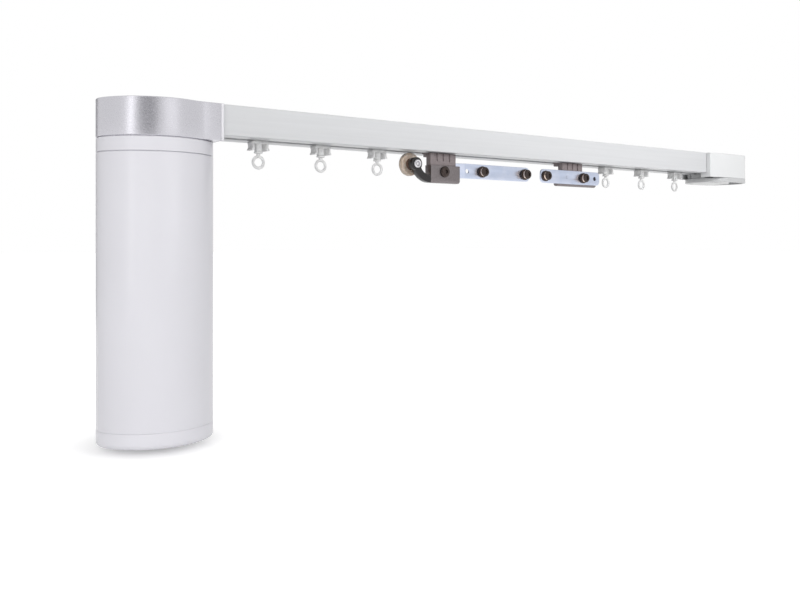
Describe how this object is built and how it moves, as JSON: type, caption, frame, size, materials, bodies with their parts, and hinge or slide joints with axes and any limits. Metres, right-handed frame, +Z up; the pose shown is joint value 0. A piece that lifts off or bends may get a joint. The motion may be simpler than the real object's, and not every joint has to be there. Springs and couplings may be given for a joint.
{
  "type": "electric curtain track",
  "caption": "Motorised curtain track: white rail with a hanging drive motor at one end, an inner belt, two master carriers that part from the middle and white eye gliders.",
  "frame": {"origin": "middle of the rail's top face, where a ceiling clip holds it", "axes": "+X along the rail away from the motor, +Y to the back, +Z up"},
  "size_m": [0.7389, 0.063, 0.238],
  "materials": {
    "rail_coat": "white coated, satin",
    "housing_paint": "silver-grey satin paint",
    "trim_silver": "bright silver",
    "case_white": "white satin gloss",
    "end_white": "white satin",
    "end_grey": "light grey satin",
    "inner_plastic": "moulded",
    "bearing_bronze": "sintered bronze",
    "screw_steel": "zinc plated",
    "gear_zinc": "die cast",
    "motor_steel": "turned steel",
    "magnet": "ferrite",
    "board": "solder mask",
    "black_plastic": "moulded black",
    "belt": "moulded rubber",
    "carrier_dark": "moulded dark grey-brown",
    "bracket_dark": "dark coated",
    "zinc_plate": "blue zinc plated",
    "dark_chrome": "dark nickel",
    "pin_chrome": "bright plated",
    "roller_hub": "brown moulded",
    "roller_tyre": "translucent beige",
    "nylon": "white moulded",
    "winding": "copper winding on steel",
    "gear_brass": "hobbed",
    "button": "moulded"
  },
  "bodies": {
    "track": {"rail": "rail_coat", "drive_housing": "housing_paint", "mouth_trim": "trim_silver", "drive_base": "inner_plastic", "drive_bush": "bearing_bronze", "housing_screws": "screw_steel", "motor_collar": "case_white", "motor_case": "case_white", "bottom_cap": "case_white", "cap_screws": "screw_steel", "gearbox_case": "gear_zinc", "motor_can": "motor_steel", "stator_magnets": "magnet", "motor_cradle": "inner_plastic", "circuit_board": "board", "power_inlet": "black_plastic", "drive_belt": "belt", "end_housing": "end_white", "end_base": "end_grey", "end_screws": "screw_steel", "tension_block": "inner_plastic", "tension_screw": "screw_steel", "idler_axle": "motor_steel"},
    "left_carrier": {"left_carrier_block": "carrier_dark", "left_belt_clamp": "black_plastic", "left_bracket": "bracket_dark", "left_arm": "zinc_plate", "left_arm_screw": "dark_chrome", "left_snap_studs": "dark_chrome", "roller_arm": "black_plastic", "roller_pin": "pin_chrome"},
    "roller": {"roller_hub": "roller_hub", "roller_tyre": "roller_tyre"},
    "right_carrier": {"right_carrier_block": "carrier_dark", "right_belt_clamp": "black_plastic", "right_bracket": "bracket_dark", "right_arm": "zinc_plate", "right_arm_screw": "screw_steel", "right_snap_studs": "dark_chrome"},
    "glider_1": {"glider_1": "nylon"},
    "glider_2": {"glider_2": "nylon"},
    "glider_3": {"glider_3": "nylon"},
    "glider_4": {"glider_4": "nylon"},
    "glider_5": {"glider_5": "nylon"},
    "glider_6": {"glider_6": "nylon"},
    "glider_eye_1": {"glider_eye_1": "nylon"},
    "glider_eye_2": {"glider_eye_2": "nylon"},
    "glider_eye_3": {"glider_eye_3": "nylon"},
    "glider_eye_4": {"glider_eye_4": "nylon"},
    "glider_eye_5": {"glider_eye_5": "nylon"},
    "glider_eye_6": {"glider_eye_6": "nylon"},
    "drive": {"drive_pulley": "inner_plastic", "output_shaft": "motor_steel"},
    "rotor": {"motor_rotor": "winding", "sun_gear": "gear_brass"},
    "planet_1": {"planet_gear_1": "gear_brass"},
    "planet_2": {"planet_gear_2": "gear_brass"},
    "planet_3": {"planet_gear_3": "gear_brass"},
    "idler": {"idler_pulley": "inner_plastic"},
    "setting_button": {"setting_button": "button"}
  },
  "joints": [
    {"name": "left_carrier_slide", "type": "slide", "parent": "track", "child": "left_carrier", "axis": [1, 0, 0], "range_m": [-0.112, 0.006]},
    {"name": "right_carrier_slide", "type": "slide", "parent": "track", "child": "right_carrier", "axis": [1, 0, 0], "range_m": [-0.0061, 0.1121]},
    {"name": "glider_1_slide", "type": "slide", "parent": "track", "child": "glider_1", "axis": [1, 0, 0], "range_m": [-0.0256, 0.00147]},
    {"name": "glider_2_slide", "type": "slide", "parent": "track", "child": "glider_2", "axis": [1, 0, 0], "range_m": [-0.06445, 0.00355]},
    {"name": "glider_3_slide", "type": "slide", "parent": "track", "child": "glider_3", "axis": [1, 0, 0], "range_m": [-0.1033, 0.00563]},
    {"name": "glider_4_slide", "type": "slide", "parent": "track", "child": "glider_4", "axis": [1, 0, 0], "range_m": [-0.00544, 0.09985]},
    {"name": "glider_5_slide", "type": "slide", "parent": "track", "child": "glider_5", "axis": [1, 0, 0], "range_m": [-0.00319, 0.05775]},
    {"name": "glider_6_slide", "type": "slide", "parent": "track", "child": "glider_6", "axis": [1, 0, 0], "range_m": [-0.00093, 0.01565]},
    {"name": "glider_1_swivel", "type": "hinge", "parent": "glider_1", "child": "glider_eye_1", "pos_m": [-0.2525, 0, -0.03], "axis": [0, 0, 1], "continuous": true},
    {"name": "glider_2_swivel", "type": "hinge", "parent": "glider_2", "child": "glider_eye_2", "pos_m": [-0.1979, 0, -0.03], "axis": [0, 0, 1], "continuous": true},
    {"name": "glider_3_swivel", "type": "hinge", "parent": "glider_3", "child": "glider_eye_3", "pos_m": [-0.1433, 0, -0.03], "axis": [0, 0, 1], "continuous": true},
    {"name": "glider_4_swivel", "type": "hinge", "parent": "glider_4", "child": "glider_eye_4", "pos_m": [0.1433, 0, -0.03], "axis": [0, 0, 1], "continuous": true},
    {"name": "glider_5_swivel", "type": "hinge", "parent": "glider_5", "child": "glider_eye_5", "pos_m": [0.20115, 0, -0.03], "axis": [0, 0, 1], "continuous": true},
    {"name": "glider_6_swivel", "type": "hinge", "parent": "glider_6", "child": "glider_eye_6", "pos_m": [0.259, 0, -0.03], "axis": [0, 0, 1], "continuous": true},
    {"name": "roller_spin", "type": "hinge", "parent": "left_carrier", "child": "roller", "pos_m": [-0.1125, 0, -0.0328], "axis": [0, 1, 0], "continuous": true},
    {"name": "drive_spin", "type": "hinge", "parent": "track", "child": "drive", "pos_m": [-0.3277, 0, -0.02], "axis": [0, 0, 1], "range_deg": [-538.6, 29.8]},
    {"name": "idler_spin", "type": "hinge", "parent": "track", "child": "idler", "pos_m": [0.325, 0, -0.01325], "axis": [0, 0, 1], "range_deg": [-538.6, 29.8]},
    {"name": "rotor_spin", "type": "hinge", "parent": "track", "child": "rotor", "pos_m": [-0.3277, 0, -0.1], "axis": [0, 0, 1], "range_deg": [-2689, 145]},
    {"name": "planet_1_spin", "type": "hinge", "parent": "drive", "child": "planet_1", "pos_m": [-0.31645, 0, -0.0414], "axis": [0, 0, 1], "range_deg": [-77.8, 1434.6]},
    {"name": "planet_2_spin", "type": "hinge", "parent": "drive", "child": "planet_2", "pos_m": [-0.33332, 0.00974, -0.0414], "axis": [0, 0, 1], "range_deg": [-77.8, 1434.6]},
    {"name": "planet_3_spin", "type": "hinge", "parent": "drive", "child": "planet_3", "pos_m": [-0.33332, -0.00974, -0.0414], "axis": [0, 0, 1], "range_deg": [-77.8, 1434.6]},
    {"name": "setting_press", "type": "slide", "parent": "track", "child": "setting_button", "axis": [0, 0, 1], "range_m": [0, 0.0012], "stiffness_N_per_m": 600, "springref_m": -0.0005}
  ],
  "couplings": [
    {"joint": "right_carrier_slide", "follows": "left_carrier_slide", "ratio": -1},
    {"joint": "glider_1_slide", "follows": "left_carrier_slide", "ratio": 0.2277},
    {"joint": "glider_2_slide", "follows": "left_carrier_slide", "ratio": 0.5746},
    {"joint": "glider_3_slide", "follows": "left_carrier_slide", "ratio": 0.9214},
    {"joint": "glider_4_slide", "follows": "left_carrier_slide", "ratio": -0.8906},
    {"joint": "glider_5_slide", "follows": "left_carrier_slide", "ratio": -0.5147},
    {"joint": "glider_6_slide", "follows": "left_carrier_slide", "ratio": -0.1388},
    {"joint": "drive_spin", "follows": "left_carrier_slide", "rad_per_m": 83.776},
    {"joint": "idler_spin", "follows": "left_carrier_slide", "rad_per_m": 83.776},
    {"joint": "rotor_spin", "follows": "left_carrier_slide", "rad_per_m": 418.88},
    {"joint": "planet_1_spin", "follows": "left_carrier_slide", "rad_per_m": -223.4},
    {"joint": "planet_2_spin", "follows": "left_carrier_slide", "rad_per_m": -223.4},
    {"joint": "planet_3_spin", "follows": "left_carrier_slide", "rad_per_m": -223.4}
  ]
}
